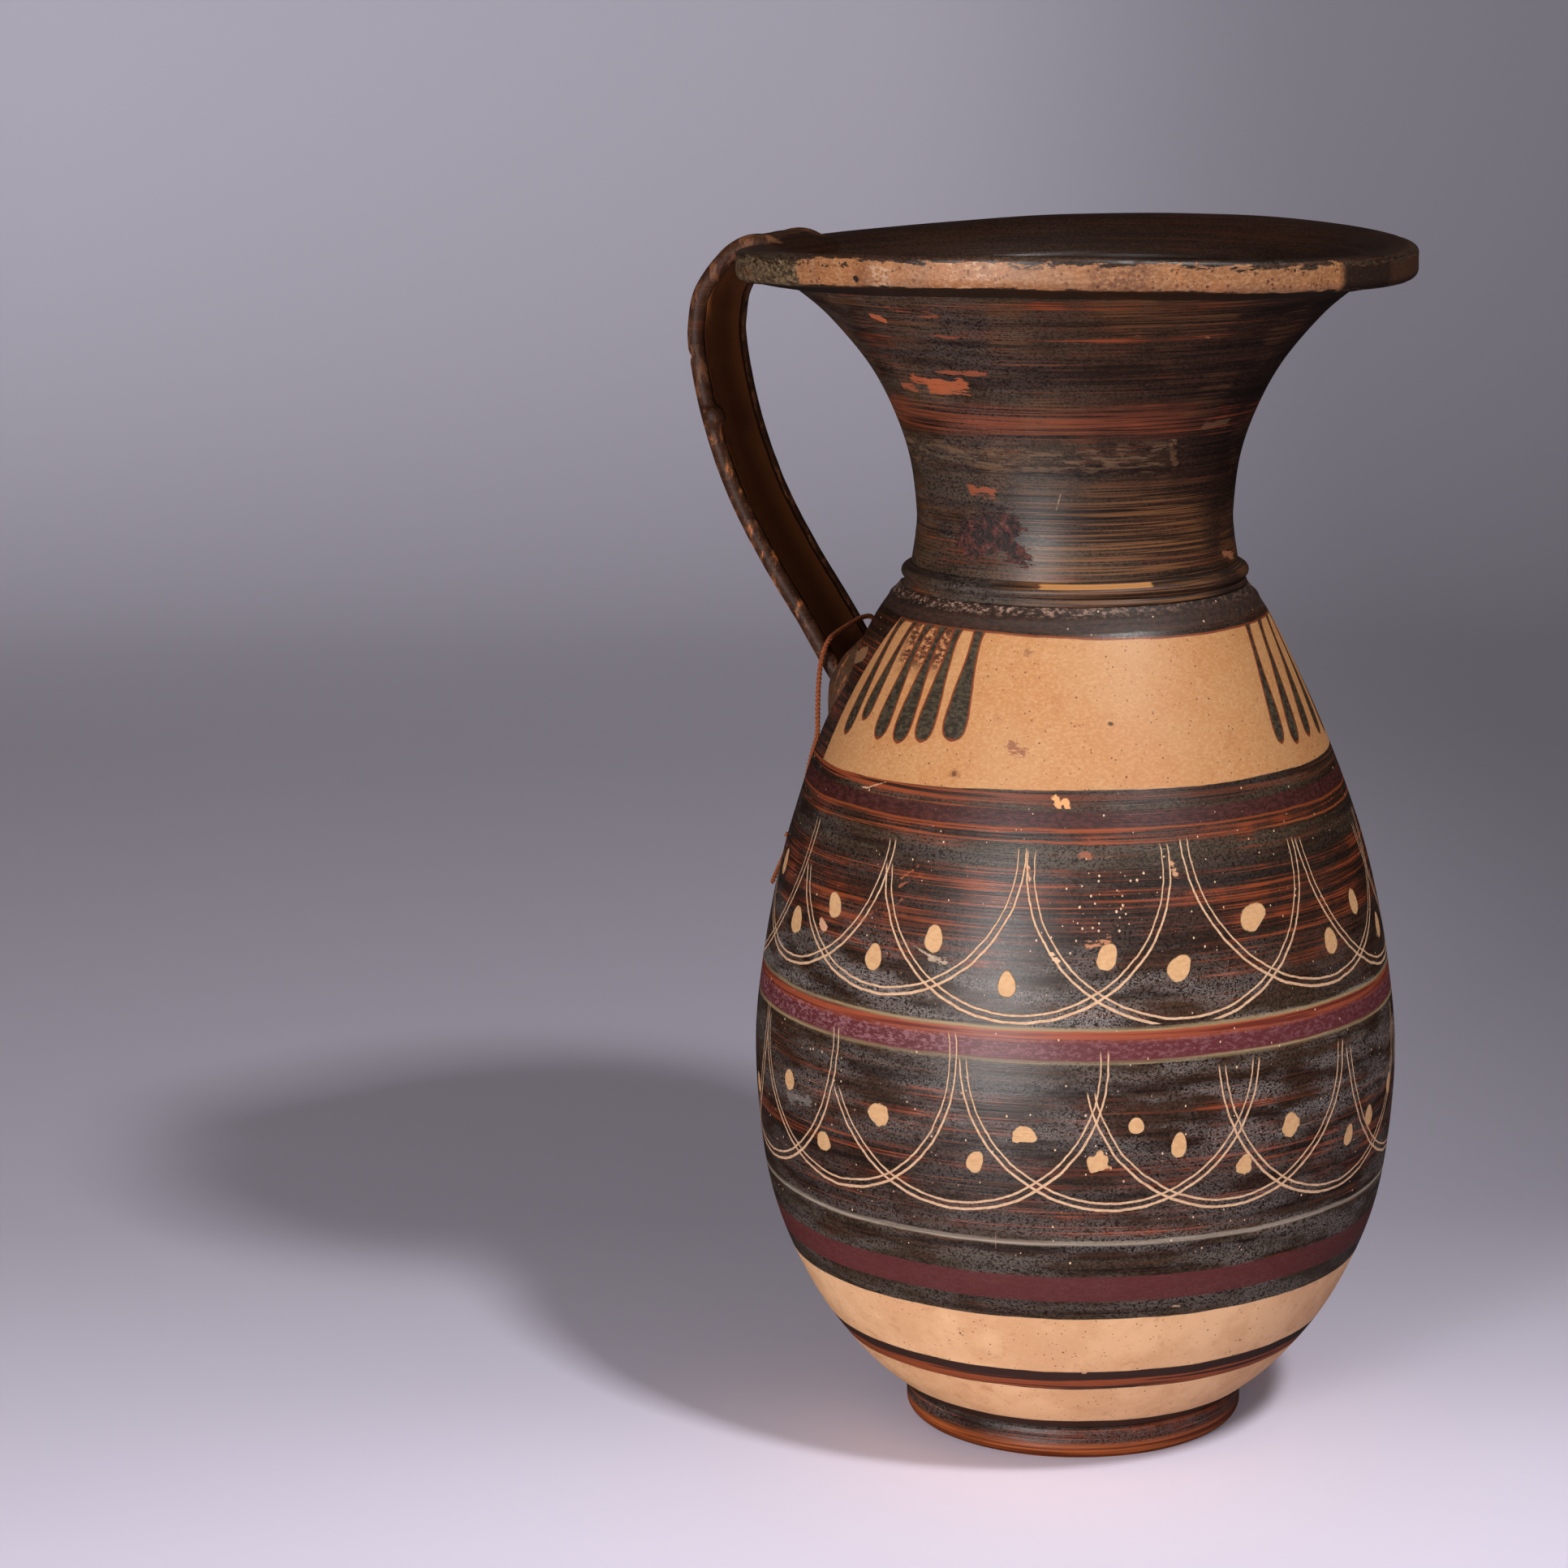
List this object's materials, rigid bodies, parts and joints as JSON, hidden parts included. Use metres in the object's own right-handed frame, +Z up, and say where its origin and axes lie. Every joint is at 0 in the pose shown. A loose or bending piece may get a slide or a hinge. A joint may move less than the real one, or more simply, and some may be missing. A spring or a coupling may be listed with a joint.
{
  "type": "trumpet-necked clay jug",
  "caption": "Wheel-thrown clay wine jug with an egg-shaped body, a flaring trumpet neck, a wide flat lip, a high strap handle and a tag string round the handle's root.",
  "frame": {"origin": "centre of the foot's flat underside, on the surface that the jug stands on", "axes": "+Z up the jug's axis, -X towards the handle, so +X is the side opposite the handle"},
  "size_m": [0.1863, 0.1676, 0.3028],
  "materials": {
    "foot": "semi-gloss orange-brown slip over fired clay",
    "body": "semi-gloss black-brown slip with purple-red bands, reserved cream zones and incised arcs",
    "neck": "semi-gloss black-brown slip with wheel streaks and wear",
    "collar_ring": "semi-gloss black-brown slip, rubbed on its edge",
    "lip": "bare buff clay on its face, black-brown slip on top and below",
    "handle_strap": "semi-gloss black-brown slip, worn to the clay in places",
    "handle_coil": "semi-gloss black-brown slip, rubbed along the edge",
    "handle_pad": "thin black-brown slip over hand-smoothed clay, with pale deposits",
    "string": "matt twisted thread"
  },
  "bodies": {
    "root": {"foot": "foot", "body": "body", "neck": "neck", "collar_ring": "collar_ring", "lip": "lip", "handle_strap": "handle_strap", "handle_coil_near": "handle_coil", "handle_coil_far": "handle_coil", "handle_root_pad": "handle_pad", "handle_lip_pad": "handle_pad", "tag_string": "string", "tag_string_knot": "string"}
  },
  "joints": []
}
